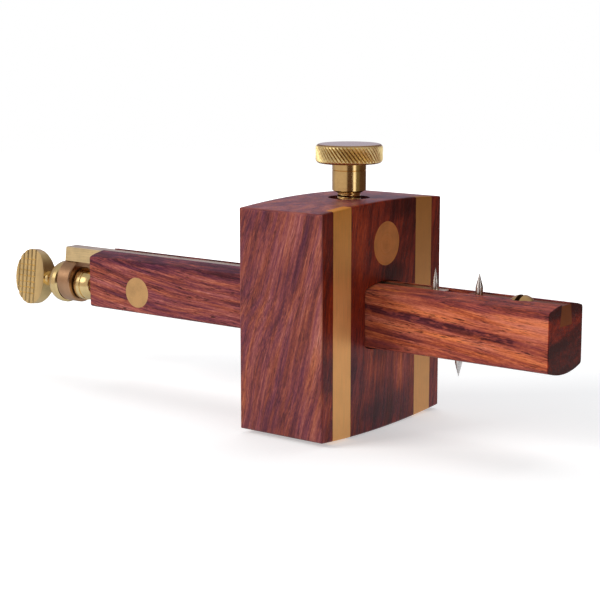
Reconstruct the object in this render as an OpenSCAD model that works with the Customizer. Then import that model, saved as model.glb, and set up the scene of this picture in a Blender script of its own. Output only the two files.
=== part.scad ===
// Combination gauge: a stock that slides on a stem, with a mortise pair of pins above, one of
// them on a screw-driven dovetail slide, and a single marking pin below.
// X runs along the stem towards the pins, Y across it, Z up. The origin lies on the working
// face of the stock, midway between the stem's opening and the stock's lower end.

/* [Stock] */
// Thickness of the stock along the stem
stock_t = 25.8; // [22:0.1:32]
// Width of the stock across the stem
stock_w = 52.2; // [48:0.1:66]
// Height of the stock over its crowned ends
stock_h = 58.5; // [56:0.1:74]
// Rise of the curve on the stock's top and bottom ends
crown = 1.1; // [0.5:0.1:2.5]
// Radius where the crowned ends meet the flat sides
corner_r = 0.8; // [0.4:0.1:1.5]
// Radius that eases the edges of the stock's two faces
edge_r = 0.5; // [0.2:0.1:0.7]
// Clearance between the stem and its opening in the stock
mortise_gap = 0.25; // [0.2:0.05:0.5]

/* [Wear strips] */
// Width of each brass strip let into the working face
strip_w = 7.4; // [5:0.1:9]
// Thickness of each brass strip
strip_t = 2.5; // [1.5:0.1:3.5]
// Distance from the stock's side to the nearer strip edge
strip_inset = 4.5; // [2.5:0.1:5]

/* [Stem] */
// Length of the stem
stem_l = 148; // [130:1:200]
// Width of the stem
stem_w = 16; // [14:0.1:19]
// Height of the stem over its crowned top and belly
stem_h = 16.85; // [16.3:0.05:20]
// Rise of the curve on the stem's top and belly
stem_crown = 1.4; // [0.6:0.1:2]
// Radius where the crowned faces meet the flat sides
stem_corner_r = 0.9; // [0.4:0.1:1.5]
// Height of the stem's crest above the middle of the stock
stem_up = 8.7; // [7.5:0.1:9]
// Reach of the stem past the working face as drawn
stem_reach = 51.7; // [46:0.1:70]

/* [Dovetail slide] */
// Width of the dovetail groove at the stem's top
groove_w = 4.4; // [4:0.1:5.4]
// Width of the dovetail groove at its floor
groove_floor_w = 5.8; // [5.6:0.1:7]
// Depth of the dovetail groove
groove_d = 5.3; // [5:0.1:6]
// Depth of the sliding bar and the fixed strip below the stem's crest
brass_sink = 0.35; // [0.3:0.05:0.6]
// Height of the sliding bar
slide_h = 4.1; // [3.8:0.1:4.4]
// Side clearance of the sliding bar in its groove
slide_gap = 0.06; // [0.04:0.01:0.1]
// Length of the sliding bar past its pin
slide_nose = 3.4; // [2:0.1:4]
// Slide travel that opens the pins
slide_out = 6; // [3:0.5:6]
// Slide travel that closes the pins
slide_in = 4; // [2:0.5:4]
// Room left at the stem's end when the pins are closest
slide_room = 1; // [0.5:0.1:3]

/* [Fixed strip] */
// Length of the fixed strip on the stock side of its pin
fixed_lead = 2.7; // [1.5:0.1:3]
// Distance of the fixed strip's screw from the stem's end
strip_screw_inset = 11.8; // [8:0.1:13]
// Head diameter of the fixed strip's screw
strip_screw_d = 5.8; // [4:0.1:6.2]
// Shank diameter of the fixed strip's screw
strip_screw_shank_d = 2.2; // [1.6:0.1:2.6]
// Length of the fixed strip's screw under its head
strip_screw_l = 10.5; // [8:0.5:12]
// Height that the screw's head stands above the strip
strip_screw_proud = 1.2; // [0.6:0.05:1.4]

/* [Pins] */
// Diameter of the steel pins
pin_d = 1.9; // [1.5:0.1:2.2]
// Length of each pin's point
pin_point = 3.6; // [2.5:0.1:4]
// Height of the mortise pins above the stem
pin_stand = 5; // [4.2:0.1:6]
// Distance of the sliding pin from the working face as drawn
slide_pin_x = 15.4; // [15.2:0.1:20]
// Distance between the two mortise pins as drawn
pin_gap = 12.6; // [12:0.1:16]
// Distance of the single marking pin from the working face as drawn
marking_pin_x = 22.5; // [18:0.1:40]
// Length of the marking pin outside the stem
marking_pin_stand = 4.7; // [4.2:0.05:6]
// Depth of the marking pin in the stem
marking_pin_depth = 7; // [5:0.5:8]

/* [Clamp] */
// Distance of the clamp screw behind the working face
clamp_x = 11.8; // [10.5:0.1:13]
// Sideways place of the clamp screw
clamp_y = 1.1; // [-2:0.1:2]
// Diameter of the cross nut in the stock
clamp_nut_d = 11.2; // [10:0.1:13]
// Length of the cross nut in the stock
clamp_nut_l = 19; // [18:0.5:21]
// Thread diameter of the clamp screw
clamp_screw_d = 5.9; // [5:0.1:6.5]
// Threaded length between the pressure pad and the neck
clamp_shank_l = 19.2; // [18:0.1:26]
// Diameter of the neck under the knurled head
clamp_neck_d = 8.7; // [8:0.1:10]
// Length of the neck under the knurled head
clamp_neck_l = 7.6; // [5:0.1:12]
// Diameter of the knurled head
clamp_head_d = 17.1; // [14:0.1:22]
// Thickness of the knurled head
clamp_head_h = 4.9; // [3.4:0.1:7]
// Number of knurls round the head
knurl_count = 52; // [30:1:60]
// Depth of the knurls
knurl_depth = 0.45; // [0.2:0.05:0.5]
// Slant of the knurls from the screw's axis
knurl_slant = 38; // [0:1:40]
// Clearance round the neck in the stock's top
mouth_gap = 1; // [0.5:0.1:1.5]
// Diameter of the pressure pad on the stem
pad_d = 9; // [8:0.1:10]
// Thickness of the pressure pad
pad_t = 2.4; // [2:0.1:3]
// Lift of the pressure pad when the clamp opens
pad_lift = 1.4; // [1:0.1:2]
// Diameter of the screw's tip in the pressure pad
pad_tip_d = 4; // [3:0.1:4.5]

/* [Adjuster] */
// Depth of the adjusting screw's axis below the stem's crest
adjuster_drop = 11.1; // [11:0.1:11.5]
// Drop of the screw's axis below the middle of the eye
eye_sag = 0.8; // [0:0.1:1]
// Drop of the screw's axis below the middle of its cross nut
nut_sag = 1.2; // [0:0.1:1.4]
// Distance of the cross nut from the stem's end
adjuster_nut_inset = 18.2; // [14:0.1:30]
// Diameter of the cross nut in the stem
adjuster_nut_d = 8.5; // [8.4:0.1:9]
// Thread diameter of the adjusting screw
adjuster_screw_d = 4.4; // [4:0.1:4.5]
// Thread left past the cross nut when the pins are widest
adjuster_spare = 5.5; // [2:0.5:8]
// Outer diameter of the eye under the sliding bar
eye_d = 12.6; // [11.6:0.1:13.4]
// Thickness of the eye along the screw
eye_t = 4.9; // [3.5:0.1:6]
// Amount that the eye reaches past the sliding bar's end
eye_lip = 0.2; // [0.1:0.05:0.6]
// Diameter of the screw's journal in the eye
journal_d = 5.6; // [5.2:0.1:6.4]
// End play between the eye and each collar
eye_play = 0.5; // [0.3:0.05:0.7]
// Diameter of the front collar
front_collar_d = 12.2; // [10.6:0.1:13]
// Thickness of the front collar
front_collar_t = 1.7; // [1.2:0.1:2.5]
// Diameter of the rear collar
rear_collar_d = 9.3; // [8.6:0.1:10.6]
// Thickness of the rear collar's rim
rear_collar_t = 2; // [0.8:0.1:2.4]
// Length of the rear collar's rounded nose
rear_nose_l = 3.2; // [2:0.1:3.5]
// Diameter of the thin neck behind the thumb piece
thumb_neck_d = 4.4; // [3:0.1:5]
// Length of the flare from the thin neck to the front collar
flare_l = 6.5; // [4:0.1:9]
// Length of the straight part of the thin neck
thumb_neck_l = 0.8; // [0.4:0.1:6]
// Length of the oval thumb piece along the screw
thumb_l = 13.2; // [11:0.1:18]
// Width of the oval thumb piece across the screw
thumb_w = 16.5; // [14:0.1:22]
// Thickness of the thumb piece at its outer edge
thumb_tip_t = 2.6; // [1.6:0.1:3]
// Thickness of the thumb piece where its grip ends
thumb_mid_t = 2.8; // [2.4:0.1:4]
// Thickness of the thumb piece at the neck
thumb_root_t = 5.1; // [5:0.1:8]
// Angle at which the thumb piece stands as drawn
thumb_angle = 7; // [-90:1:90]
// Number of ridges on each grip face
grip_ridges = 4; // [3:1:7]
// Number of cross cuts above and below the middle of each grip face
grip_cuts = 3; // [1:1:4]
// Depth of the grooves between the ridges
grip_depth = 0.35; // [0.15:0.05:0.4]

/* [Hidden] */
// Clearances
glue_gap = 0.02;
thread_gap = 0.07;
seat_gap = 0.1;
pocket_gap = 0.2;
lift_gap = 0.15;
bore_gap = 0.35;
// Smoothness of small and large curves
$fn = 72;
big_fn = 720;
small_fn = 32;
// Overrun that carries a cut clean through a surface
over = 1;

// Heights
mortise_foot = stem_h - stem_up + mortise_gap;
mid_z = (stock_h / 2 + mortise_foot) / 2;
stem_top = mid_z + stem_up;
stem_foot = stem_top - stem_h;
stock_top = mid_z + stock_h / 2;
pad_foot = stem_top + seat_gap;
pad_top = pad_foot + pad_t;
clamp_nut_z = pad_top + pad_lift + lift_gap + clamp_nut_d / 2;
adjuster_z = stem_top - adjuster_drop;
adjuster_nut_z = adjuster_z + nut_sag;
eye_z = adjuster_z + eye_sag;
brass_top = stem_top - brass_sink;
slide_foot = brass_top - slide_h;

// Places along the stem
stem_end = stem_reach - stem_l;
adjuster_nut_x = stem_end + adjuster_nut_inset;
rear_collar_l = rear_collar_t + rear_nose_l;
rear_collar_x = stem_end - slide_room - slide_in - rear_collar_l;
rear_collar_end = rear_collar_x + rear_collar_l;
eye_end = rear_collar_x - eye_play;
eye_start = eye_end - eye_t;
front_collar_end = eye_start - eye_play;
front_collar_x = front_collar_end - front_collar_t;
slide_start = eye_start + eye_lip;
slide_end = slide_pin_x + slide_nose;
fixed_pin_x = slide_pin_x + pin_gap;
fixed_start = fixed_pin_x - fixed_lead;
strip_screw_x = stem_reach - strip_screw_inset;
flare_x = front_collar_x - flare_l;
thumb_root_x = flare_x - thumb_neck_l;
thumb_x = thumb_root_x - thumb_l / 2;
adjuster_tip_x = adjuster_nut_x + adjuster_nut_d / 2 + slide_out + adjuster_spare;
adjuster_bore_x = adjuster_tip_x + slide_in + over;

// Shapes
crown_r = arc_radius(stock_w, crown);
groove_slope = (groove_floor_w - groove_w) / 2 / groove_d;
strip_y = stock_w / 2 - strip_inset - strip_w / 2;
mouth_d = clamp_neck_d + 2 * mouth_gap;
pin_rod_l = pin_stand - pin_point;
strip_head_sink = 0.3;
strip_head_l = strip_screw_proud + strip_head_sink;
head_seat = brass_top - strip_head_sink;
slot_w = 1.2;
tip_chamfer = 0.6;
neck_foot = 0.75;
ring_drop = 1.75;
ring_depth = 0.12;
head_round = 1.1;
eye_chamfer = 0.3;
collar_chamfer = 0.5;
turned_steps = 10;
nose_share = 0.96;
nose_wall = 0.6;
thumb_root_in = 1;
thumb_steps = 4;
grip_x = thumb_l * 0.12;
grip_land = 1.4;
grip_pitch = (grip_x + thumb_l / 2 - grip_land) / grip_ridges;

// Radius of an arc that rises by the given amount over a chord
function arc_radius(chord, rise) = (pow(chord / 2, 2) + rise * rise) / (2 * rise);

// A flat shape in (y, z) pushed along X
module along_x(from, to) {
    translate([from, 0, 0])
        rotate([90, 0, 90])
            linear_extrude(to - from)
                children();
}

// A profile in (radius, x) turned about a line along X at the given place
module turned_x(x, y, z) {
    translate([x, y, z])
        rotate([0, 90, 0])
            rotate_extrude()
                children();
}

module bore_x(from, to, y, z, d) {
    translate([from, y, z])
        rotate([0, 90, 0])
            cylinder(h = to - from, d = d);
}

module bore_z(x, y, from, to, d) {
    translate([x, y, from])
        cylinder(h = to - from, d = d);
}

// Outline seen along the stem: flat sides, crowned top and bottom, small round corners
module crowned_outline(w, h, rise, r) {
    arc_r = arc_radius(w, rise);
    corner_y = w / 2 - r;
    corner_z = sqrt(pow(arc_r - r, 2) - corner_y * corner_y) + h / 2 - arc_r;
    intersection() {
        square([2 * corner_y, 2 * h], center = true);
        translate([0, h / 2 - arc_r])
            circle(r = arc_r, $fn = big_fn);
        translate([0, arc_r - h / 2])
            circle(r = arc_r, $fn = big_fn);
    }
    square([w, 2 * corner_z], center = true);
    for (side = [-1, 1], end = [-1, 1])
        translate([side * corner_y, end * corner_z])
            circle(r = r, $fn = small_fn);
}

// Rectangle with rounded corners, built from its straight parts and four circles
module rounded_rectangle(w, h, r) {
    square([w - 2 * r, h], center = true);
    square([w, h - 2 * r], center = true);
    for (side = [-1, 1], end = [-1, 1])
        translate([side * (w / 2 - r), end * (h / 2 - r)])
            circle(r = r, $fn = small_fn);
}

// Wide disc whose rim is one crowned end of the stock, with both rim edges eased
module crown_disc(end) {
    translate([-stock_t / 2, 0, mid_z + end * (stock_h / 2 - crown_r)])
        rotate([0, 90, 0])
            rotate_extrude($fn = big_fn)
                intersection() {
                    rounded_rectangle(2 * crown_r, stock_t, edge_r);
                    translate([0, -stock_t])
                        square([2 * crown_r, 2 * stock_t]);
                }
}

module stock_blank() {
    intersection() {
        translate([0, 0, mid_z])
            along_x(-stock_t, 0)
                crowned_outline(stock_w, stock_h, crown, corner_r);
        translate([-stock_t / 2, 0, mid_z - stock_h])
            linear_extrude(2 * stock_h)
                rounded_rectangle(stock_t, stock_w, edge_r);
        crown_disc(1);
        crown_disc(-1);
    }
}

// Section of the stem, or of the opening round it
module stem_section(gap) {
    translate([0, stem_top - stem_h / 2])
        crowned_outline(stem_w + 2 * gap, stem_h + 2 * gap, stem_crown, stem_corner_r + gap);
}

// Dovetail between two heights, drawn in from the groove's flanks by a gap
module dovetail(foot, top, gap) {
    foot_w = groove_w / 2 + groove_slope * (stem_top - foot) - gap;
    top_w = groove_w / 2 + groove_slope * (stem_top - top) - gap;
    polygon([[-foot_w, foot], [foot_w, foot], [top_w, top], [-top_w, top]]);
}

module strip_recess(side, depth, width) {
    translate([-depth, side * strip_y - width / 2, mid_z - stock_h])
        cube([depth + over, width, 2 * stock_h]);
}

module stock() {
    color([0.36, 0.15, 0.12])
        difference() {
            stock_blank();
            along_x(-stock_t - over, over)
                stem_section(mortise_gap);
            for (side = [-1, 1])
                strip_recess(side, strip_t, strip_w);
            bore_x(-clamp_nut_l, over, clamp_y, clamp_nut_z, clamp_nut_d);
            bore_z(-clamp_x, clamp_y, clamp_nut_z, stock_top + over, mouth_d);
            bore_z(-clamp_x, clamp_y, stem_top - 2 * stem_crown, clamp_nut_z, pad_d + 2 * pocket_gap);
        }
}

module wear_strip(side) {
    color([0.76, 0.6, 0.33])
        intersection() {
            stock_blank();
            strip_recess(side, strip_t - glue_gap, strip_w - 2 * glue_gap);
        }
}

module near_wear_strip() {
    wear_strip(-1);
}

module far_wear_strip() {
    wear_strip(1);
}

module clamp_nut() {
    color([0.78, 0.58, 0.33])
        difference() {
            bore_x(glue_gap - clamp_nut_l, -glue_gap, clamp_y, clamp_nut_z, clamp_nut_d - 2 * glue_gap);
            bore_z(-clamp_x, clamp_y, clamp_nut_z - clamp_nut_d, clamp_nut_z + clamp_nut_d,
                clamp_screw_d + 2 * thread_gap);
        }
}

module pressure_pad() {
    color([0.8, 0.65, 0.35])
        difference() {
            bore_z(-clamp_x, clamp_y, pad_foot, pad_top, pad_d);
            bore_z(-clamp_x, clamp_y, pad_foot + pad_t / 2, pad_top + over, pad_tip_d + 2 * thread_gap);
        }
}

// Head with slanting knurls, its two rims rounded over
module knurled_head() {
    rim_r = clamp_head_d / 2;
    difference() {
        translate([0, 0, clamp_head_h / 2])
            rotate_extrude()
                intersection() {
                    rounded_rectangle(clamp_head_d, clamp_head_h, head_round);
                    translate([0, -clamp_head_h])
                        square([clamp_head_d, 2 * clamp_head_h]);
                }
        for (i = [1:knurl_count])
            rotate([0, 0, i * 360 / knurl_count])
                translate([rim_r, 0, clamp_head_h / 2])
                    rotate([knurl_slant, 0, 0])
                        rotate([0, 0, 45])
                            cube([knurl_depth * sqrt(2), knurl_depth * sqrt(2), 2 * clamp_head_h], center = true);
    }
}

module clamp_screw() {
    tip_z = pad_foot + pad_t / 2 + seat_gap;
    shank_z = pad_top + seat_gap;
    neck_z = shank_z + clamp_shank_l - seat_gap;
    head_z = neck_z + clamp_neck_l;
    tip_r = pad_tip_d / 2;
    shank_r = clamp_screw_d / 2;
    neck_r = clamp_neck_d / 2;
    ring_z = head_z - ring_drop;
    color([0.85, 0.7, 0.38])
        translate([-clamp_x, clamp_y, 0]) {
            rotate_extrude()
                polygon([[0, tip_z], [tip_r, tip_z], [tip_r, shank_z], [shank_r - tip_chamfer, shank_z],
                    [shank_r, shank_z + tip_chamfer], [shank_r, neck_z], [neck_r, neck_z + neck_foot],
                    [neck_r, ring_z - ring_depth], [neck_r - ring_depth, ring_z],
                    [neck_r, ring_z + ring_depth], [neck_r, head_z + clamp_head_h / 2],
                    [0, head_z + clamp_head_h / 2]]);
            translate([0, 0, head_z])
                knurled_head();
        }
}

module stem() {
    color([0.6, 0.3, 0.18])
        difference() {
            along_x(stem_end, stem_reach)
                stem_section(0);
            along_x(stem_end - over, stem_reach + over)
                dovetail(stem_top - groove_d, stem_top + over, 0);
            translate([adjuster_nut_x, 0, adjuster_nut_z])
                rotate([90, 0, 0])
                    cylinder(h = stem_w + 2 * over, d = adjuster_nut_d, center = true);
            bore_x(stem_end - over, adjuster_bore_x, 0, adjuster_z, adjuster_screw_d + 2 * bore_gap);
            bore_z(marking_pin_x, 0, stem_foot - over, stem_foot + marking_pin_depth, pin_d);
            bore_z(strip_screw_x, 0, head_seat, stem_top + over, strip_screw_d);
            bore_z(strip_screw_x, 0, head_seat - strip_screw_l, stem_top, strip_screw_shank_d);
        }
}

// Cross nut whose ends are faced off with the stem's sides
module adjuster_nut() {
    color([0.8, 0.63, 0.36])
        difference() {
            intersection() {
                translate([adjuster_nut_x, 0, adjuster_nut_z])
                    rotate([90, 0, 0])
                        cylinder(h = stem_w + over, d = adjuster_nut_d - 2 * glue_gap, center = true);
                along_x(adjuster_nut_x - adjuster_nut_d, adjuster_nut_x + adjuster_nut_d)
                    stem_section(-glue_gap);
            }
            bore_x(adjuster_nut_x - adjuster_nut_d, adjuster_nut_x + adjuster_nut_d, 0, adjuster_z,
                adjuster_screw_d + 2 * thread_gap);
        }
}

module fixed_strip() {
    color([0.74, 0.58, 0.32])
        difference() {
            along_x(fixed_start, stem_reach)
                dovetail(stem_top - groove_d + glue_gap, brass_top, glue_gap);
            bore_z(fixed_pin_x, 0, stem_top - groove_d - over, stem_top + over, pin_d);
            bore_z(strip_screw_x, 0, head_seat, stem_top + over, strip_screw_d);
            bore_z(strip_screw_x, 0, stem_top - groove_d - over, stem_top, strip_screw_shank_d);
        }
}

// Round slotted head and a pointed shank
module strip_screw() {
    head_r = strip_screw_d / 2 - glue_gap;
    shank_r = strip_screw_shank_d / 2 - glue_gap;
    dome_r = arc_radius(2 * head_r, strip_screw_proud);
    color([0.8, 0.68, 0.38])
        translate([strip_screw_x, 0, head_seat + glue_gap])
            difference() {
                union() {
                    intersection() {
                        cylinder(h = strip_head_l, r = head_r);
                        translate([0, 0, strip_head_l - dome_r])
                            sphere(r = dome_r);
                    }
                    rotate_extrude()
                        polygon([[0, -strip_screw_l + 2 * glue_gap], [shank_r, -strip_screw_l + 2 * shank_r],
                            [shank_r, strip_head_sink], [0, strip_head_sink]]);
                }
                translate([-slot_w / 2, -strip_screw_d, strip_head_sink])
                    cube([slot_w, 2 * strip_screw_d, strip_screw_proud + over]);
            }
}

// Round rod with a long point, standing on z = 0
module point_pin(rod_l) {
    rotate_extrude()
        polygon([[0, 0], [pin_d / 2 - glue_gap, 0], [pin_d / 2 - glue_gap, rod_l], [0, rod_l + pin_point]]);
}

module mortise_pin(x, foot) {
    color([0.78, 0.78, 0.8])
        translate([x, 0, foot])
            point_pin(stem_top + pin_rod_l - foot);
}

module fixed_pin() {
    mortise_pin(fixed_pin_x, stem_top - groove_d + glue_gap);
}

module slide_pin() {
    mortise_pin(slide_pin_x, slide_foot);
}

module marking_pin() {
    color([0.78, 0.78, 0.8])
        translate([marking_pin_x, 0, stem_foot + marking_pin_depth - glue_gap])
            mirror([0, 0, 1])
                point_pin(marking_pin_depth + marking_pin_stand - pin_point);
}

// Sliding bar with a rounded end past its pin
module slide_bar() {
    color([0.83, 0.72, 0.42])
        difference() {
            intersection() {
                along_x(slide_start, slide_end)
                    dovetail(slide_foot, brass_top, slide_gap);
                translate([0, 0, slide_foot - over]) {
                    bore_z(slide_end - groove_floor_w / 2, 0, 0, slide_h + 3 * over, groove_floor_w);
                    translate([slide_start, -groove_floor_w, 0])
                        cube([slide_end - slide_start - groove_floor_w / 2, 2 * groove_floor_w,
                            slide_h + 3 * over]);
                }
            }
            bore_z(slide_pin_x, 0, slide_foot - over, brass_top + over, pin_d);
        }
}

// Ring joined to the underside of the sliding bar, open round the screw's journal
module slide_eye() {
    eye_r = eye_d / 2;
    color([0.72, 0.52, 0.38])
        difference() {
            union() {
                turned_x(eye_start, 0, eye_z)
                    polygon([[0, 0], [eye_r - eye_chamfer, 0], [eye_r, eye_chamfer],
                        [eye_r, eye_t - eye_chamfer], [eye_r - eye_chamfer, eye_t], [0, eye_t]]);
                translate([eye_start + eye_chamfer, -groove_w / 2, eye_z])
                    cube([eye_t - 2 * eye_chamfer, groove_w, eye_r]);
            }
            bore_x(eye_start - over, eye_end + over, 0, adjuster_z, journal_d + 2 * thread_gap);
            translate([eye_start - over, -eye_d, slide_foot])
                cube([eye_t + 2 * over, 2 * eye_d, eye_d]);
        }
}

// Outline of the thumb piece seen from its side
module thumb_oval() {
    polygon([for (a = [0:5:355]) [thumb_l / 2 * cos(a), thumb_w / 2 * sin(a)]]);
}

// Half thickness of the thumb piece between the end of its grip (0) and the neck (1)
function thumb_half_t(share) = (thumb_mid_t + (thumb_root_t - thumb_mid_t) * share * share) / 2;

// Section of the thumb piece along the screw: thin outside, flared to the neck, grooved faces
module thumb_section() {
    tip = thumb_tip_t / 2;
    mid = thumb_mid_t / 2;
    slope = (mid - tip) / (grip_x + thumb_l / 2);
    flare = [for (i = [0:thumb_steps]) let (share = i / thumb_steps)
        [grip_x + (thumb_l / 2 - grip_x) * share, thumb_half_t(share)]];
    difference() {
        for (side = [-1, 1])
            polygon(concat([[-thumb_l / 2, 0], [-thumb_l / 2, side * tip]],
                [for (p = flare) [p[0], side * p[1]]],
                [[thumb_l / 2, 0]]));
        for (i = [0:grip_ridges], side = [-1, 1])
            translate([grip_x - i * grip_pitch, side * (mid - slope * i * grip_pitch)])
                rotate(45)
                    square(grip_depth * sqrt(2), center = true);
    }
}

// Cuts along the screw that cross the grooves of both grip faces
module cross_cuts() {
    for (i = [-grip_cuts:grip_cuts], side = [-1, 1])
        translate([grip_x - thumb_l / 2, side * thumb_mid_t / 2, i * grip_pitch])
            rotate([45, 0, 0])
                cube([thumb_l, grip_depth, grip_depth], center = true);
}

module thumb_piece() {
    translate([thumb_x, 0, adjuster_z])
        rotate([-thumb_angle, 0, 0])
            difference() {
                intersection() {
                    rotate([90, 0, 0])
                        linear_extrude(2 * thumb_root_t, center = true)
                            thumb_oval();
                    linear_extrude(2 * thumb_w, center = true)
                        thumb_section();
                }
                cross_cuts();
            }
}

module adjuster_screw() {
    neck_r = thumb_neck_d / 2;
    collar_r = front_collar_d / 2;
    journal_r = journal_d / 2;
    thread_r = adjuster_screw_d / 2;
    root_x = thumb_root_x - thumb_root_in;
    color([0.84, 0.69, 0.38]) {
        turned_x(0, 0, adjuster_z)
            polygon(concat([[0, root_x], [neck_r, root_x]],
                [for (i = [0:turned_steps]) let (share = i / turned_steps)
                    [neck_r + (collar_r - neck_r) * (1 - cos(180 * share)) / 2, flare_x + flare_l * share]],
                [[collar_r, front_collar_end - collar_chamfer], [collar_r - collar_chamfer, front_collar_end],
                [journal_r, front_collar_end], [journal_r, rear_collar_end],
                [thread_r, rear_collar_end], [thread_r, adjuster_tip_x - tip_chamfer],
                [thread_r - tip_chamfer, adjuster_tip_x], [0, adjuster_tip_x]]));
        thumb_piece();
    }
}

// Collar behind the eye, with a rounded nose towards the stem
module rear_collar() {
    rim_r = rear_collar_d / 2;
    bore_r = journal_d / 2 + glue_gap;
    nose_r = bore_r + nose_wall;
    fall = nose_share * rim_r - nose_r;
    color([0.84, 0.66, 0.38])
        turned_x(rear_collar_x, 0, adjuster_z)
            polygon(concat([[bore_r, 0], [rim_r, 0], [rim_r, rear_collar_t]],
                [for (i = [0:turned_steps]) let (turn = 90 * i / turned_steps)
                    [nose_r + fall * cos(turn), rear_collar_t + rear_nose_l * sin(turn)]],
                [[bore_r, rear_collar_l]]));
}

stock();
near_wear_strip();
far_wear_strip();
clamp_nut();
pressure_pad();
clamp_screw();
stem();
adjuster_nut();
fixed_strip();
strip_screw();
fixed_pin();
marking_pin();
slide_bar();
slide_eye();
slide_pin();
adjuster_screw();
rear_collar();
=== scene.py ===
"""Combination gauge: looks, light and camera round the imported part. Metres, in the part's own frame."""

import math

import bpy
from mathutils import Matrix, Vector


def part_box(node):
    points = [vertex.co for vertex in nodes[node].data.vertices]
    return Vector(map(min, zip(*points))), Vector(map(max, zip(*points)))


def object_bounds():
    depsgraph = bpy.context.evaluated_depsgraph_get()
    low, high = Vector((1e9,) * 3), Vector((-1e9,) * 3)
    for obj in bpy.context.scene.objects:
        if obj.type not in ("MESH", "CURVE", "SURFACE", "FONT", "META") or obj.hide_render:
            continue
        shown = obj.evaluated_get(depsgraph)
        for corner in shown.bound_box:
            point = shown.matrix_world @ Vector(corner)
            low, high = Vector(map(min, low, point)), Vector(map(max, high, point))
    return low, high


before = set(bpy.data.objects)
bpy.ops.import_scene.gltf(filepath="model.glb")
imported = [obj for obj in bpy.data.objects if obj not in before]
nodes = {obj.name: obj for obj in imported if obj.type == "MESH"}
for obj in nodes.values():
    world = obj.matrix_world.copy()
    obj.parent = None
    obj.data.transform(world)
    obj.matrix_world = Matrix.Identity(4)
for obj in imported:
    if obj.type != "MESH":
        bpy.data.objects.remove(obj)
box_at_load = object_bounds()

MM = 0.001

# Stage, in metres. KEY is the main lamp's place, and its direction gives the bright patch in reflections.
CENTRE = (-0.03, 0.0, 0.015)
FLOOR_Z = box_at_load[0].z - 0.05 * MM
FLOOR_SIDES = 64
KEY = (-0.62, -0.85, 0.58)
TOP_LAMP = (-0.1, 0.35, 0.9)

# The camera's yaw, pitch and roll in degrees, lens in millimetres and place in metres, fitted to the photograph
CAMERA_TURN = (37.615, 9.982, -0.031)
CAMERA_LENS = 96.0
CAMERA_PLACE = (0.226614, -0.32886, 0.093017)

# Places on the part, in millimetres: each pair is where a face's own look begins and where it is full
STOCK_SIDE = (25.6, 26.0)
STEM_END = (51.3, 51.65)
STEM_BEHIND_STOCK, STEM_PAST_STOCK = -28, -6
BAR_TOP = (26.9, 27.05)
STRIP_TOP = 48
CLAMP_HEAD_HEIGHT = 4.9
CLAMP_THREAD_PITCH = 1.0
CLAMP_THREAD_ABOVE_NUT = 6.4
ADJUSTER_THREAD_PITCH = 0.8
THUMB_LENGTH = 13
SCREW_SLOT = 0.6

# Sizes of the wood's texture, in millimetres across, across and along the grain
STREAKS = (0.85, 0.85, 30)
FIBRES = (0.3, 0.3, 6.5)
SPECKS = (0.3, 0.3, 1.1)
HUES = (1.6, 1.6, 20)
PORES = (0.26, 0.26, 3.0)
PORE_GROUPS = (2.0, 2.0, 9)

# Rosewood from its darkest streaks to its palest, and its open pores
PLUM = [(0.0, (0.055, 0.014, 0.023)), (0.25, (0.12, 0.033, 0.042)), (0.45, (0.215, 0.056, 0.05)),
        (0.62, (0.315, 0.092, 0.064)), (0.8, (0.44, 0.15, 0.095)), (1.0, (0.56, 0.22, 0.14))]
PORE = (0.035, 0.012, 0.014)

# Turned brass: millimetres between the tool's rings, how dark its clouds are, and the faced top of the clamp's head,
# painted paler as the highlight it catches from above
RING_PITCH = 0.3
CLOUD_SHADE = 0.7
TOP_FACE_SHEEN = (1.0, 0.82, 0.56)

# Colours that shiny surfaces see round the object
HAZE = (0.4, 0.36, 0.34)
WALL = (0.62, 0.54, 0.48)
DUSK = (0.095, 0.055, 0.04)
WINDOW = (1.5, 1.5, 1.5)

UPRIGHT = ((1, 0, 0), (0, 1, 0), (0, 0, 1))


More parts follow.
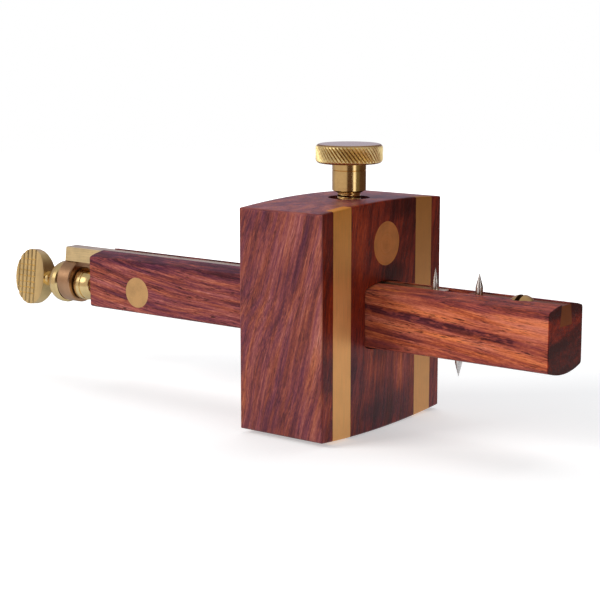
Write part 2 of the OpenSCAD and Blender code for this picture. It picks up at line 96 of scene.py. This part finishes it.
class Graph:
    """A node tree with short names for its nodes. Places are in millimetres unless a size is given."""

    def __init__(self, tree, coordinate, size=1 / MM):
        self.tree = tree
        self.tree.nodes.clear()
        self.place = self.tree.nodes.new("ShaderNodeTexCoord").outputs[coordinate]
        if size != 1:
            self.place = self.vector("MULTIPLY", self.place, (size, size, size))

    def plug(self, socket, value):
        """Links a socket to the value, or sets it."""
        if isinstance(value, bpy.types.NodeSocket):
            self.tree.links.new(value, socket)
        elif isinstance(value, (tuple, list)) and len(value) == 3 and socket.type == "RGBA":
            socket.default_value = (*value, 1.0)
        else:
            socket.default_value = value

    def math(self, operation, *values):
        node = self.tree.nodes.new("ShaderNodeMath")
        node.operation = operation
        for socket, value in zip(node.inputs, values):
            self.plug(socket, value)
        return node.outputs[0]

    def sum(self, first, *terms):
        """The first value plus each weight times each value."""
        for weight, value in terms:
            first = self.math("MULTIPLY_ADD", value, weight, first)
        return first

    def less_half(self, value):
        """A value from 0 to 1 as one from -0.5 to 0.5."""
        return self.math("SUBTRACT", value, 0.5)

    def both(self, first, second):
        """The product of two shares."""
        return self.math("MULTIPLY", first, second)

    def vector(self, operation, *values):
        node = self.tree.nodes.new("ShaderNodeVectorMath")
        node.operation = operation
        for socket, value in zip(node.inputs, values):
            self.plug(socket, value)
        return node.outputs["Value" if operation in ("DOT_PRODUCT", "LENGTH") else "Vector"]

    def parts(self, vector):
        node = self.tree.nodes.new("ShaderNodeSeparateXYZ")
        self.plug(node.inputs[0], vector)
        return node.outputs[0], node.outputs[1], node.outputs[2]

    def join(self, x, y, z):
        node = self.tree.nodes.new("ShaderNodeCombineXYZ")
        for socket, value in zip(node.inputs, (x, y, z)):
            self.plug(socket, value)
        return node.outputs[0]

    def turned(self, vector, rows):
        """The vector's coordinates along three directions."""
        return self.join(*(self.vector("DOT_PRODUCT", vector, tuple(row)) for row in rows))

    def noise(self, vector, sizes, detail, rough, seed):
        """Cloudy value from 0 to 1 whose features have a size in millimetres on each axis."""
        node = self.tree.nodes.new("ShaderNodeTexNoise")
        node.noise_dimensions = "4D"
        self.plug(node.inputs["Vector"], self.vector("MULTIPLY", vector, tuple(1 / size for size in sizes)))
        node.inputs["W"].default_value = seed
        node.inputs["Scale"].default_value = 1.0
        node.inputs["Detail"].default_value = detail
        node.inputs["Roughness"].default_value = rough
        return node.outputs["Fac"]

    def span(self, value, from_low, from_high, to_low=0.0, to_high=1.0, smooth=True):
        """Carries one range of a value onto another, and keeps it inside."""
        node = self.tree.nodes.new("ShaderNodeMapRange")
        node.interpolation_type = "SMOOTHSTEP" if smooth else "LINEAR"
        for socket, number in zip(node.inputs, (value, from_low, from_high, to_low, to_high)):
            self.plug(socket, number)
        return node.outputs[0]

    def band(self, value, middle, half, soft):
        """1 within half of the middle, falling to 0 over a soft edge."""
        return self.span(self.math("ABSOLUTE", self.math("SUBTRACT", value, middle)), half, half + soft, 1.0, 0.0)

    def blob(self, middle, sizes, rows=UPRIGHT):
        """1 at the middle, falling to 0 at an ellipsoid whose half sizes along three directions are given."""
        away = self.turned(self.vector("SUBTRACT", self.place, middle), rows)
        far = self.vector("LENGTH", self.vector("MULTIPLY", away, tuple(1 / size for size in sizes)))
        return self.span(far, 0.25, 1.0, 1.0, 0.0)

    def ramp(self, value, stops):
        """The colour at a value, between colours given at their own values."""
        node = self.tree.nodes.new("ShaderNodeValToRGB")
        self.plug(node.inputs[0], value)
        elements = node.color_ramp.elements
        elements[0].position, elements[0].color = stops[0][0], (*stops[0][1], 1)
        elements[1].position, elements[1].color = stops[-1][0], (*stops[-1][1], 1)
        for position, colour in stops[1:-1]:
            elements.new(position).color = (*colour, 1)
        return node.outputs[0]

    def mix(self, share, first, second, blend="MIX"):
        """A colour that goes from the first to the second."""
        node = self.tree.nodes.new("ShaderNodeMix")
        node.data_type = "RGBA"
        node.blend_type = blend
        for socket, value in ((node.inputs[0], share), (node.inputs[6], first), (node.inputs[7], second)):
            self.plug(socket, value)
        return node.outputs[2]

    def times(self, first, second):
        """One colour multiplied by another."""
        return self.mix(1.0, first, second, "MULTIPLY")

    def choose(self, share, first, second):
        """A number that goes from the first value to the second."""
        return self.math("MULTIPLY_ADD", self.math("SUBTRACT", second, first), share, first)

    def bump(self, height, depth, strength, base=None):
        """Relief whose height of 1 stands for a depth in millimetres."""
        node = self.tree.nodes.new("ShaderNodeBump")
        node.inputs["Strength"].default_value = strength
        node.inputs["Distance"].default_value = depth * MM
        self.plug(node.inputs["Height"], height)
        if base is not None:
            self.plug(node.inputs["Normal"], base)
        return node.outputs[0]

    def share_of_rays(self, *names):
        """1 for the kinds of ray that are named."""
        path = self.tree.nodes.new("ShaderNodeLightPath")
        total = path.outputs[names[0]]
        for name in names[1:]:
            total = self.math("MAXIMUM", total, path.outputs[name])
        return total

    def reflected(self, east, north, stops):
        """Colour in each compass direction, given at degrees from +X towards +Y."""
        turn = self.span(self.math("ARCTAN2", north, east), -math.pi, math.pi, smooth=False)
        return self.ramp(turn, [((degrees + 180) / 360, colour) for degrees, colour in stops])


class Look(Graph):
    """One material round a Principled shader."""

    def __init__(self, name):
        self.material = bpy.data.materials.new(name)
        self.material.use_nodes = True
        super().__init__(self.material.node_tree, "Object")
        self.output = self.tree.nodes.new("ShaderNodeOutputMaterial")
        self.shader = self.tree.nodes.new("ShaderNodeBsdfPrincipled")
        self.tree.links.new(self.shader.outputs[0], self.output.inputs[0])

    def blend(self, share, first, second):
        """A shader that goes from the first shader to the second."""
        node = self.tree.nodes.new("ShaderNodeMixShader")
        for socket, value in zip(node.inputs, (share, first, second)):
            self.plug(socket, value)
        return node.outputs[0]

    def set(self, **values):
        """Sets or links the shader's sockets, named with _ for spaces, and gives the material."""
        for name, value in values.items():
            self.plug(self.shader.inputs[name.replace("_", " ")], value)
        return self.material


def grey(level):
    return (level, level, level)


def tinted(colour, factors):
    """The colour with each channel multiplied, at most 1."""
    return tuple(min(channel * factor, 1.0) for channel, factor in zip(colour, factors))


def leaning(lean):
    """Three directions at right angles: across the working face, out of it, and up it with a lean towards +Y."""
    up = Vector((0, lean, 1)).normalized()
    across = Vector((1, 0, 0)).cross(up).normalized()
    return [tuple(across), tuple(up.cross(across)), tuple(up)]


def middle(name):
    """The middle of a node's box, in millimetres."""
    low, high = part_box(name)
    return tuple((a + b) / 2 / MM for a, b in zip(low, high))


def wood(look, figure, local, seed, contrast, pore_share, tint, shine):
    """Rosewood: a figure from 0 dark to 1 pale, with streaks, fibres and dark pores along the third axis of local."""
    streaks = look.noise(local, STREAKS, 3.0, 0.6, seed)
    fibres = look.noise(local, FIBRES, 3.0, 0.62, seed + 3)
    specks = look.noise(local, SPECKS, 2.0, 0.65, seed + 5)
    value = look.sum(figure, (contrast, look.less_half(streaks)), (contrast, look.less_half(fibres)),
                     (0.6, look.less_half(specks)))
    hue = look.ramp(look.noise(local, HUES, 2.0, 0.5, seed + 17),
                    [(0.36, (0.94, 0.96, 1.28)), (0.62, (1.08, 1.03, 0.8))])
    colour = look.times(look.times(look.ramp(value, PLUM), hue), tint)
    single = look.noise(local, PORES, 2.0, 0.5, seed + 7)
    grouped = look.noise(local, PORE_GROUPS, 2.0, 0.5, seed + 11)
    pores = look.both(look.span(single, 0.54, 0.62), look.span(grouped, 0.42, 0.58, 0.1, 1.0))
    colour = look.mix(look.both(pores, pore_share), colour, PORE)
    relief = look.math("SUBTRACT", look.math("MULTIPLY", fibres, 0.6), pores)
    return look.set(Base_Color=colour, Roughness=look.span(fibres, 0.3, 0.7, 0.3, 0.4), IOR=1.5,
                    Specular_IOR_Level=shine, Normal=look.bump(relief, 0.05, 0.5))


def stock_rosewood():
    """Grain that leans towards +X up the sides and towards +Y up the faces, with the photographed broad figure."""
    look = Look("stock_rosewood")
    x, y, z = look.parts(look.place)
    side = look.span(look.math("ABSOLUTE", y), *STOCK_SIDE)
    sway = look.less_half(look.noise(look.place, (26, 26, 34), 1.0, 0.5, 4.0))
    local = look.join(look.math("MULTIPLY_ADD", z, look.choose(side, -0.03, -0.27), look.sum(x, (5.0, sway))),
                      look.math("MULTIPLY_ADD", z, look.choose(side, -0.15, -0.03), look.sum(y, (6.0, sway))), z)
    broad = look.noise(local, (3.2, 4.6, 70), 2.0, 0.5, 21.0)
    base = look.sum(0.47, (0.95, look.less_half(broad)))

    # Leaning bands of the near side: weight, place across, half width, soft edge, and the heights where each comes in
    bands = [(0.26, -10.2, 1.2, 2.0, 30, 40),
             (-0.3, -5.6, 0.8, 1.2, 22, 30),
             (-0.16, -21.0, 2.2, 2.0, 38, 44),
             (0.14, 6.0, 2.0, 2.5, 4, 14)]
    lean = look.sum(x, (-0.3, look.math("SUBTRACT", z, 40.0)), (4.0, sway))
    near = look.sum(base, *((weight, look.both(look.band(lean, across, half, soft), look.span(z, low, high)))
                            for weight, across, half, soft, low, high in bands),
                    (-0.1, look.blob((-12, -26, -4), (9, 30, 7))))

    # Patches of the working face: weight, middle, half sizes and their directions
    patches = [(0.2, (0, -10.5, 40), (30, 5, 12), UPRIGHT),
               (-0.34, (0, 2.5, 29.5), (30, 9.5, 4.0), UPRIGHT),
               (-0.28, (0, 8.0, 46.0), (30, 9, 4.5), UPRIGHT),
               (-0.34, (0, -9.5, 0.5), (30, 2.3, 9.0), leaning(0.42)),
               (0.3, (0, -4.6, 1.5), (30, 2.8, 8.0), leaning(-0.16)),
               (-0.26, (0, 2.5, 3.0), (30, 5.0, 6.0), UPRIGHT)]
    face = look.sum(base, (-0.1, look.span(x, -3, -1)),
                    *((weight, look.blob(*patch)) for weight, *patch in patches))

    figure = look.choose(look.span(y, *(-edge for edge in STOCK_SIDE)), face, near)
    red = look.both(look.span(x, -2.0, -0.4), look.math("SUBTRACT", 1.0, side))
    red_tone = look.mix(look.span(z, 2, 24), (1.4, 0.95, 0.8), (1.0, 0.4, 0.17))
    return wood(look, figure, local, 1.0, 0.85, 0.5, look.mix(red, (1.06, 1.0, 1.04), red_tone), 0.14)


def stem_rosewood():
    """Grain along the stem: orange with a slanting dark band past the working face, plum behind the stock, and
    painted shade along the top edge.
    """
    look = Look("stem_rosewood")
    x, y, z = look.parts(look.place)
    sway = look.less_half(look.noise(look.place, (48, 16, 16), 1.0, 0.5, 2.0))
    dip = look.span(x, -96, -40, 0.072, -0.003, smooth=False)
    lifted = look.math("MULTIPLY_ADD", x, dip, look.sum(z, (4.0, sway), (0.075, look.math("MAXIMUM", x, 0))))
    local = look.join(look.sum(y, (2.0, sway)), lifted, x)
    broad = look.noise(local, (2.2, 1.7, 45), 2.0, 0.5, 12.0)

    patch = look.noise(look.place, (3, 3, 1.2), 2.0, 0.6, 44.0)
    dark_band = look.both(look.band(look.sum(z, (0.088, x), (1.6, sway)), 21.9, 0.55, 0.9),
                          look.both(look.span(patch, 0.36, 0.52, 0.45, 1.0), look.span(x, 46, 40, 0.25, 1.0)))
    thin_band = look.both(look.band(look.sum(z, (0.09, x), (2.0, sway)), 16.6, 0.2, 0.5), look.span(x, 32, 12))
    # Painted shade: a darker band along the top of the side, at the rounded edge, past the stock.
    top_edge_shade = look.both(look.span(z, 24.0, 25.2), look.span(x, 6, 20))
    low_edge = look.span(look.sum(z, (0.06, x)), 16.4, 14.2)
    low_patch = look.blob((6, -8, 13.2), (9, 30, 1.4))
    pale_band = look.both(look.band(z, 21.5, 1.6, 1.8), look.span(x, 32, 44))
    low_corner = look.both(look.span(z, 17.5, 15.0), look.span(x, 18, 34))
    ember = look.sum(0.74, (0.7, look.less_half(broad)), (-0.62, dark_band), (-0.4, thin_band), (-0.34, top_edge_shade),
                     (-0.2, low_edge), (-0.2, low_patch), (0.14, pale_band), (-0.14, low_corner))

    pale_side = look.both(look.span(x, -66, -50), look.band(z, 22, 1.5, 2.5))
    # Painted shade: the plum part darkens in a band along the top of the side, at the rounded edge.
    plum = look.sum(0.47, (1.05, look.less_half(broad)), (0.1, pale_side), (-0.3, look.span(z, 24.2, 25.6)))

    front = look.span(x, STEM_BEHIND_STOCK, STEM_PAST_STOCK)
    end = look.span(x, *STEM_END)
    end_band = look.both(look.band(look.sum(z, (-0.27, y)), 18.6, 0.7, 1.6), end)
    figure = look.sum(look.choose(front, plum, ember), (-0.42, end), (-0.3, end_band))
    warmth = look.mix(front, (1.12, 1.0, 1.04), (1.42, 1.1, 0.82))
    return wood(look, figure, local, 31.0, look.choose(front, 1.3, 0.95), 0.85,
                look.mix(end, warmth, (1.0, 0.3, 0.1)), 0.07)


def brass(name, colour, rough, lines, fade=None, metal=1.0, patina=0.22):
    """Metal with fine machining lines, whose sizes on each axis are given in millimetres. A fade gives the heights
    between which the colour goes over to a tinted one; it paints light into the colour: shade darker towards the top
    of the wear strips, a highlight on the slide bar's top."""
    look = Look(name)
    grain = look.noise(look.place, lines, 3.0, 0.6, len(name))
    cloud = look.noise(look.place, (5, 5, 5), 3.0, 0.55, len(name) + 5)
    tone = look.mix(look.span(cloud, 0.35, 0.7), colour, tinted(colour, grey(1 - patina)))
    tone = look.times(tone, look.ramp(grain, [(0.3, (0.88, 0.88, 0.86)), (0.7, (1.1, 1.1, 1.12))]))
    if fade is not None:
        _, _, z = look.parts(look.place)
        foot, top, tint = fade
        # Painted light: between the fade's heights the colour is multiplied towards the tint.
        tone = look.times(tone, look.mix(look.span(z, foot, top, smooth=False), grey(1), tint))
    return look.set(Base_Color=tone, Metallic=metal, Roughness=look.span(grain, 0.3, 0.7, rough * 0.85, rough * 1.2),
                    Normal=look.bump(grain, 0.006, 0.6))


def turned_brass(name, colour, rough, centre, axis, thread=None, knurl=None, slot=None, satin=None, metal=1.0):
    """Metal turned on a lathe: rings round an axis through the centre. Places along the axis, from the centre and in
    millimetres, give a thread's two ends and pitch, a knurled head's foot, top and radius, and where a satin finish
    ends. A slot is half its width."""
    look = Look(name)
    x, y, z = look.parts(look.vector("SUBTRACT", look.place, centre))
    across, turn, run = {"x": (look.join(0.0, y, z), look.math("ARCTAN2", y, z), x),
                         "z": (look.join(x, y, 0.0), look.math("ARCTAN2", y, x), z)}[axis]
    radius = look.vector("LENGTH", across)
    rings = look.noise(look.join(radius, run, 0.0), (RING_PITCH, RING_PITCH, 1), 3.0, 0.6, 8.0)
    cloud = look.noise(look.place, (4, 4, 4), 3.0, 0.55, 6.0)
    tone = look.mix(look.span(cloud, 0.35, 0.7, 0.0, 0.6), colour, tinted(colour, grey(CLOUD_SHADE)))
    normal = look.bump(rings, 0.01, 0.5)
    sheen = look.span(rings, 0.3, 0.7, rough * 0.75, rough * 1.3)
    if thread is not None:
        low, high, pitch = thread
        wave = look.math("SINE", look.math("MULTIPLY_ADD", run, math.tau / pitch, turn))
        there = look.both(look.span(run, low, low + 0.2), look.span(run, high - 0.2, high, 1.0, 0.0))
        ridge = look.both(look.math("MULTIPLY_ADD", wave, 0.5, 0.5), there)
        # Painted shade: the thread's roots between the ridges are darkened.
        root_shade = look.both(there, look.span(ridge, 0.1, 0.6, 0.4, 0.0))
        tone = look.mix(root_shade, tone, tinted(colour, grey(0.35)))
        normal = look.bump(ridge, pitch * 0.3, 1.0, normal)
    if slot is not None:
        # Painted shade: the slot is darkened.
        tone = look.mix(look.band(x, 0.0, slot, 0.06), tone, tinted(colour, grey(0.3)))
    if knurl is not None:
        foot, top, rim = knurl
        head = look.span(run, foot, foot + 0.1)
        # Painted shade: the knurl's grooves are darkened.
        groove_shade = look.both(head, look.both(look.span(radius, rim - 0.24, rim - 0.42),
                                           look.span(radius, rim - 0.7, rim - 0.5)))
        tone = look.mix(groove_shade, tone, tinted(colour, (0.36, 0.23, 0.12)))
        chips = look.noise(look.place, (0.5, 0.5, 0.8), 2.0, 0.6, 19.0)
        edge = look.both(head, look.span(radius, rim - 1.2, rim - 0.5))
        tone = look.mix(look.both(edge, look.span(chips, 0.36, 0.5, 0.35, 0.0)), tone,
                        tinted(colour, (0.7, 0.55, 0.4)))
        # Painted highlight: the knurl's crests are lightened.
        crest_highlight = look.both(head, look.span(radius, rim - 0.34, rim - 0.16))
        tone = look.mix(crest_highlight, tone, tinted(colour, (1.3, 1.33, 1.46)))
        normal = look.bump(look.both(chips, edge), 0.12, 0.8, normal)
        sheen = look.math("MAXIMUM", sheen, look.math("MULTIPLY", edge, 0.34))
        # Painted highlight: the faced top of the head is paler.
        tone = look.mix(look.span(run, top - 0.12, top - 0.04), tone, TOP_FACE_SHEEN)
    if satin is not None:
        sheen = look.math("MAXIMUM", sheen, look.span(run, satin, satin + 0.3, 0.32, 0.0))
    return look.set(Base_Color=tone, Metallic=metal, Roughness=sheen, Normal=normal)


def clamp_brass():
    centre = middle("clamp_screw")
    low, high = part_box("clamp_screw")
    top = high.z / MM - centre[2]
    thread_top = (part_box("clamp_nut")[1].z + CLAMP_THREAD_ABOVE_NUT * MM) / MM - centre[2]
    return turned_brass("clamp_brass", (0.86, 0.6, 0.27), 0.16, centre, "z",
                        thread=(low.z / MM - centre[2], thread_top, CLAMP_THREAD_PITCH),
                        knurl=(top - CLAMP_HEAD_HEIGHT, top, (high.x - low.x) / 2 / MM))


def adjuster_brass():
    centre = middle("rear_collar")
    low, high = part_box("adjuster_screw")
    collar_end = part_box("rear_collar")[1].x
    return turned_brass("adjuster_brass", (0.88, 0.66, 0.32), 0.2, centre, "x",
                        thread=(collar_end / MM - centre[0], high.x / MM - centre[0], ADJUSTER_THREAD_PITCH),
                        satin=low.x / MM + THUMB_LENGTH - centre[0])


def steel():
    look = Look("pin_steel")
    lines = look.noise(look.place, (0.3, 0.3, 0.12), 3.0, 0.6, 3.0)
    tone = look.ramp(lines, [(0.3, (0.6, 0.57, 0.57)), (0.7, (0.8, 0.77, 0.77))])
    return look.set(Base_Color=tone, Metallic=1.0, Roughness=look.span(lines, 0.3, 0.7, 0.2, 0.32),
                    Normal=look.bump(lines, 0.002, 0.6))


def dress():
    """Gives each node its material and its slot."""
    up, along, across = (0.18, 0.18, 9), (6, 0.2, 0.2), (0.3, 2, 0.3)
    looks = [
        (stock_rosewood(), ["stock"]),
        (stem_rosewood(), ["stem"]),
        # Wear strips: painted shade, the brass darkening towards the top of each strip; the far strip's brass is a
        # darker copy of the near one's, also painted shade.
        (brass("near_wear_brass", (1.0, 0.53, 0.19), 0.5, up, (24, STRIP_TOP, (0.86, 0.68, 0.34)),
               metal=0.65, patina=0.06), ["near_wear_strip"]),
        (brass("far_wear_brass", (0.78, 0.39, 0.14), 0.5, up, (0, STRIP_TOP, (0.64, 0.49, 0.24)),
               metal=0.5, patina=0.06), ["far_wear_strip"]),
        (turned_brass("disc_brass", (0.68, 0.235, 0.055), 0.5, middle("clamp_nut"), "x", metal=0.5), ["clamp_nut"]),
        (brass("plug_brass", (0.68, 0.4, 0.17), 0.45, across, metal=0.7), ["adjuster_nut"]),
        (brass("fixed_brass", (0.33, 0.08, 0.01), 0.45, along), ["fixed_strip"]),
        # Slide bar: painted highlight, its top face paler and bluer as the sky it reflects.
        (brass("slide_brass", (0.88, 0.7, 0.4), 0.32, (9, 0.25, 0.25), (*BAR_TOP, (1.08, 1.15, 1.4))), ["slide_bar"]),
        (turned_brass("eye_brass", (0.53, 0.31, 0.18), 0.36, middle("slide_eye"), "x"), ["slide_eye"]),
        (clamp_brass(), ["clamp_screw", "pressure_pad"]),
        (adjuster_brass(), ["adjuster_screw", "rear_collar"]),
        (turned_brass("screw_brass", (0.72, 0.46, 0.2), 0.35, middle("strip_screw"), "z", slot=SCREW_SLOT),
         ["strip_screw"]),
        (steel(), ["fixed_pin", "slide_pin", "marking_pin"]),
    ]
    for material, names in looks:
        for name in names:
            nodes[name].data.materials.clear()
            nodes[name].data.materials.append(material)


def light_world():
    """White backdrop for the camera, plain soft light, and a darker room round the set in reflections."""
    world = bpy.data.worlds.new("studio")
    world.use_nodes = True
    graph = Graph(world.node_tree, "Generated", 1)
    x, y, z = graph.parts(graph.place)
    room = graph.reflected(x, y, [(-180, HAZE), (-160, WALL), (-72, WALL), (-64, DUSK), (-30, DUSK), (-22, WINDOW),
                                  (-13, WINDOW), (-5, (0.2, 0.17, 0.1)), (16, (0.16, 0.13, 0.08)), (26, DUSK),
                                  (90, DUSK), (108, (0.44, 0.42, 0.56)), (150, (0.42, 0.38, 0.46)), (180, HAZE)])
    ceiling = (0.5, 0.48, 0.46)
    room = graph.mix(graph.span(z, 0.4, 0.8), room, ceiling)
    softbox = graph.span(graph.vector("DOT_PRODUCT", graph.place, tuple(Vector(KEY).normalized())), 0.94, 0.98)
    room = graph.mix(softbox, room, (2.2, 2.15, 2.0))
    white = graph.mix(graph.share_of_rays("Is Camera Ray", "Is Transmission Ray"), room, grey(1.0))
    seen = graph.share_of_rays("Is Camera Ray", "Is Glossy Ray", "Is Transmission Ray")
    soft_light = (0.36, 0.37, 0.385)
    background = graph.tree.nodes.new("ShaderNodeBackground")
    graph.plug(background.inputs["Color"], graph.mix(seen, soft_light, white))
    output = graph.tree.nodes.new("ShaderNodeOutputWorld")
    graph.tree.links.new(background.outputs[0], output.inputs[0])
    bpy.context.scene.world = world


def lamp(name, place, size, power, colour):
    """A square or oblong lamp that is aimed at the object and doesn't show in reflections."""
    data = bpy.data.lights.new(name, "AREA")
    data.shape = "RECTANGLE"
    data.size, data.size_y = size
    data.energy = power
    data.color = colour
    ob = bpy.data.objects.new(name, data)
    ob.location = place
    ob.rotation_mode = "QUATERNION"
    ob.rotation_quaternion = (Vector(CENTRE) - Vector(place)).to_track_quat("-Z", "Y")
    ob.visible_glossy = False
    bpy.context.scene.collection.objects.link(ob)


def floor_look():
    """White for the camera, fading into the backdrop, with the object's shadow. Shiny surfaces see the near part
    only, at a brightness of its own in each direction, and from below it is clear."""
    look = Look("floor")
    look.set(Base_Color=grey(0.8), Roughness=0.8, Specular_IOR_Level=0.0)
    x, y, _ = look.parts(look.place)
    far = look.vector("LENGTH", look.place)
    glossy = look.share_of_rays("Is Glossy Ray")
    levels = [(-180, 0.6), (-150, 0.85), (-60, 0.85), (-20, 0.6), (15, 0.75), (30, 0.9), (100, 0.9), (130, 0.3),
              (160, 0.3), (180, 0.6)]
    sheet = look.reflected(x, y, [(degrees, grey(level)) for degrees, level in levels])
    camera_glow = look.mix(look.span(far, 110, 330), grey(0.42), grey(1.0))
    emission = look.tree.nodes.new("ShaderNodeEmission")
    look.plug(emission.inputs["Color"], look.mix(glossy, camera_glow, sheet))
    look.plug(emission.inputs["Strength"],
              look.share_of_rays("Is Camera Ray", "Is Glossy Ray", "Is Transmission Ray"))
    black = look.tree.nodes.new("ShaderNodeBsdfDiffuse")
    look.plug(black.inputs["Color"], grey(0))
    lit = look.tree.nodes.new("ShaderNodeAddShader")
    look.plug(lit.inputs[0], look.blend(glossy, look.shader.outputs[0], black.outputs[0]))
    look.plug(lit.inputs[1], emission.outputs[0])
    clear = look.tree.nodes.new("ShaderNodeBsdfTransparent")
    under = look.tree.nodes.new("ShaderNodeNewGeometry").outputs["Backfacing"]
    fade = look.math("MAXIMUM", look.choose(glossy, look.span(far, 450, 900), look.span(far, 150, 280)), under)
    look.plug(look.output.inputs[0], look.blend(fade, lit.outputs[0], clear.outputs[0]))
    return look.material


def floor():
    """A round sheet just under the object."""
    mesh = bpy.data.meshes.new("floor")
    turns = [math.tau * i / FLOOR_SIDES for i in range(FLOOR_SIDES)]
    mesh.from_pydata([(math.cos(turn), math.sin(turn), 0.0) for turn in turns], [], [tuple(range(FLOOR_SIDES))])
    mesh.materials.append(floor_look())
    ob = bpy.data.objects.new("floor", mesh)
    ob.location = (CENTRE[0], CENTRE[1], FLOOR_Z)
    bpy.context.scene.collection.objects.link(ob)


def camera():
    """The photographer's place."""
    yaw, pitch, roll = (math.radians(angle) for angle in CAMERA_TURN)
    back = Vector((math.sin(yaw) * math.cos(pitch), -math.cos(yaw) * math.cos(pitch), math.sin(pitch)))
    right = Vector((math.cos(yaw), math.sin(yaw), 0))
    up = back.cross(right)
    right, up = (right * math.cos(roll) + up * math.sin(roll), up * math.cos(roll) - right * math.sin(roll))
    data = bpy.data.cameras.new("camera")
    data.lens = CAMERA_LENS
    data.sensor_width = 36
    data.clip_start, data.clip_end = 0.02, 20
    ob = bpy.data.objects.new("camera", data)
    turn = Matrix((right, up, back)).transposed().to_4x4()
    ob.matrix_world = Matrix.Translation(CAMERA_PLACE) @ turn
    bpy.context.scene.collection.objects.link(ob)
    bpy.context.scene.camera = ob


def set_the_stage():
    light_world()
    floor()
    lamp("key", KEY, (0.6, 0.6), 9.0, (1.0, 0.985, 0.96))
    lamp("top", TOP_LAMP, (0.8, 0.5), 2.5, grey(1))
    camera()
    bpy.context.scene.view_settings.view_transform = "Standard"


dress()
set_the_stage()
